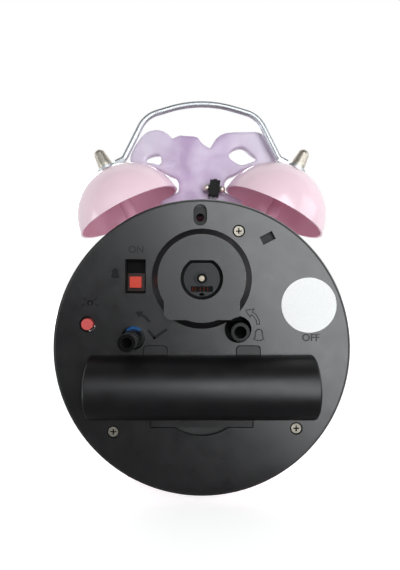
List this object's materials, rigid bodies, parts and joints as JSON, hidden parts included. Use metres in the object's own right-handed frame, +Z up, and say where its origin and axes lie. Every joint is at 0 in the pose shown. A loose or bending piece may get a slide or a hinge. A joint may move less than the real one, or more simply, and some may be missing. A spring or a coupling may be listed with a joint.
{
  "type": "twin-bell alarm clock",
  "caption": "Twin-bell table alarm clock with a round drum case, a hammer between the bells, a wire handle, setting knobs, switches and a battery door on the rear cover.",
  "frame": {"origin": "on the resting surface, under the middle of the bounding box", "axes": "+Z up, -Y towards the dial side, +Y out of the rear cover, +X to the right as seen from the dial side"},
  "size_m": [0.116, 0.0616, 0.1637],
  "materials": {
    "cover": "matte charcoal, fine texture",
    "door": "satin charcoal",
    "knob": "matte black",
    "black_plastic": "semi-gloss black",
    "white_plastic": "natural white",
    "blue_plastic": "matte blue",
    "red_plastic": "satin red",
    "pink_paint": "gloss light pink",
    "bronze": "bright warm plating",
    "steel": "bright drawn wire",
    "zinc": "zinc plated",
    "lilac_plastic": "clear tinted, glossy",
    "paper": "coated paper",
    "dial_white": "printed card",
    "hand_black": "satin black",
    "hand_red": "satin red",
    "lens_clear": "clear sheet",
    "clear_lamp": "water-clear lens",
    "board_green": "green solder mask",
    "copper": "enamelled copper wire",
    "brass": "turned brass",
    "magnet": "grey ferrite",
    "cell_sleeve": "plain printed sleeve",
    "rubber": "matte black rubber"
  },
  "bodies": {
    "case": {"rear_cover": "cover", "cover_screws": "zinc", "battery_cell": "cell_sleeve", "battery_contact": "steel", "battery_spring": "steel", "movement_rear": "black_plastic", "movement_front": "black_plastic", "circuit_board": "board_green", "drive_coil": "copper", "dial_nut": "brass", "inner_frame": "white_plastic", "dial": "dial_white", "dial_lamp": "clear_lamp", "dial_ring": "white_plastic", "lens": "lens_clear", "front_bezel": "pink_paint", "alarm_switch_body": "black_plastic", "button_switch": "black_plastic", "round_label": "paper", "case_drum": "pink_paint", "bell_left": "pink_paint", "bell_right": "pink_paint", "bell_studs": "zinc", "bell_sleeves": "pink_paint", "stud_nuts": "zinc", "cap_nuts": "bronze", "handle": "steel", "crest": "lilac_plastic", "crest_screws": "zinc", "front_feet": "pink_paint", "rear_foot": "rubber", "motor_can": "zinc", "motor_end_cap": "black_plastic", "motor_magnets": "magnet", "hammer_bracket": "zinc", "hammer_pivot": "steel"},
    "second": {"second_arbor": "white_plastic", "second_hand": "hand_red"},
    "minute": {"minute_wheel": "white_plastic", "minute_hand": "hand_black"},
    "hour": {"hour_wheel": "white_plastic", "hour_hand": "hand_black"},
    "motion": {"motion_wheel": "white_plastic"},
    "idler": {"idler_wheel": "white_plastic"},
    "time_setter": {"time_shaft": "white_plastic", "time_knob": "knob", "time_collar": "blue_plastic"},
    "alarm_pointer": {"alarm_wheel": "white_plastic", "alarm_hand": "hand_red"},
    "alarm_setter": {"alarm_shaft": "white_plastic", "alarm_knob": "knob"},
    "alarm_switch": {"alarm_slider": "red_plastic"},
    "light": {"light_button": "red_plastic"},
    "door": {"battery_door": "door"},
    "hammer": {"hammer_arm": "zinc", "hammer_head": "black_plastic", "hammer_balls": "steel"},
    "rotor": {"motor_shaft": "steel", "motor_armature": "copper", "eccentric_cam": "white_plastic"}
  },
  "joints": [
    {"name": "second_turn", "type": "hinge", "parent": "case", "child": "second", "pos_m": [0, -0.01375, 0.06], "axis": [0, 1, 0], "continuous": true},
    {"name": "minute_turn", "type": "hinge", "parent": "case", "child": "minute", "pos_m": [0, -0.01375, 0.06], "axis": [0, 1, 0], "continuous": true},
    {"name": "hour_turn", "type": "hinge", "parent": "case", "child": "hour", "pos_m": [0, -0.01375, 0.06], "axis": [0, 1, 0], "continuous": true},
    {"name": "motion_turn", "type": "hinge", "parent": "case", "child": "motion", "pos_m": [0.00311, -0.00675, 0.04841], "axis": [0, 1, 0], "continuous": true},
    {"name": "idler_turn", "type": "hinge", "parent": "case", "child": "idler", "pos_m": [0.01505, -0.00375, 0.0622], "axis": [0, 1, 0], "continuous": true},
    {"name": "time_knob_turn", "type": "hinge", "parent": "case", "child": "time_setter", "pos_m": [0.026, 0.01625, 0.0638], "axis": [0, 1, 0], "continuous": true},
    {"name": "alarm_hand_turn", "type": "hinge", "parent": "case", "child": "alarm_pointer", "pos_m": [0, -0.00975, 0.06], "axis": [0, 1, 0], "continuous": true},
    {"name": "alarm_knob_turn", "type": "hinge", "parent": "case", "child": "alarm_setter", "pos_m": [-0.0137, 0.01625, 0.067], "axis": [0, 1, 0], "continuous": true},
    {"name": "alarm_slide", "type": "slide", "parent": "case", "child": "alarm_switch", "axis": [0, 0, 1], "range_m": [0, 0.0044]},
    {"name": "light_press", "type": "slide", "parent": "case", "child": "light", "axis": [0, -1, 0], "range_m": [0, 0.001], "stiffness_N_per_m": 300, "springref_m": -0.0005},
    {"name": "battery_door_tilt", "type": "hinge", "parent": "case", "child": "door", "pos_m": [0, 0.01575, 0.0607], "axis": [1, 0, 0], "range_deg": [0, 25]},
    {"name": "hammer_swing", "type": "hinge", "parent": "case", "child": "hammer", "pos_m": [0, -0.00825, 0.0785], "axis": [0, 1, 0], "range_deg": [0, 13.4]},
    {"name": "motor_turn", "type": "hinge", "parent": "case", "child": "rotor", "pos_m": [0, 0.00625, 0.0862], "axis": [0, 1, 0], "continuous": true}
  ],
  "couplings": [
    {"joint": "hour_turn", "follows": "minute_turn", "ratio": 0.083333},
    {"joint": "motion_turn", "follows": "minute_turn", "ratio": -0.33333},
    {"joint": "idler_turn", "follows": "minute_turn", "ratio": -1.2},
    {"joint": "time_knob_turn", "follows": "minute_turn", "ratio": 2},
    {"joint": "alarm_knob_turn", "follows": "alarm_hand_turn", "ratio": -2}
  ]
}
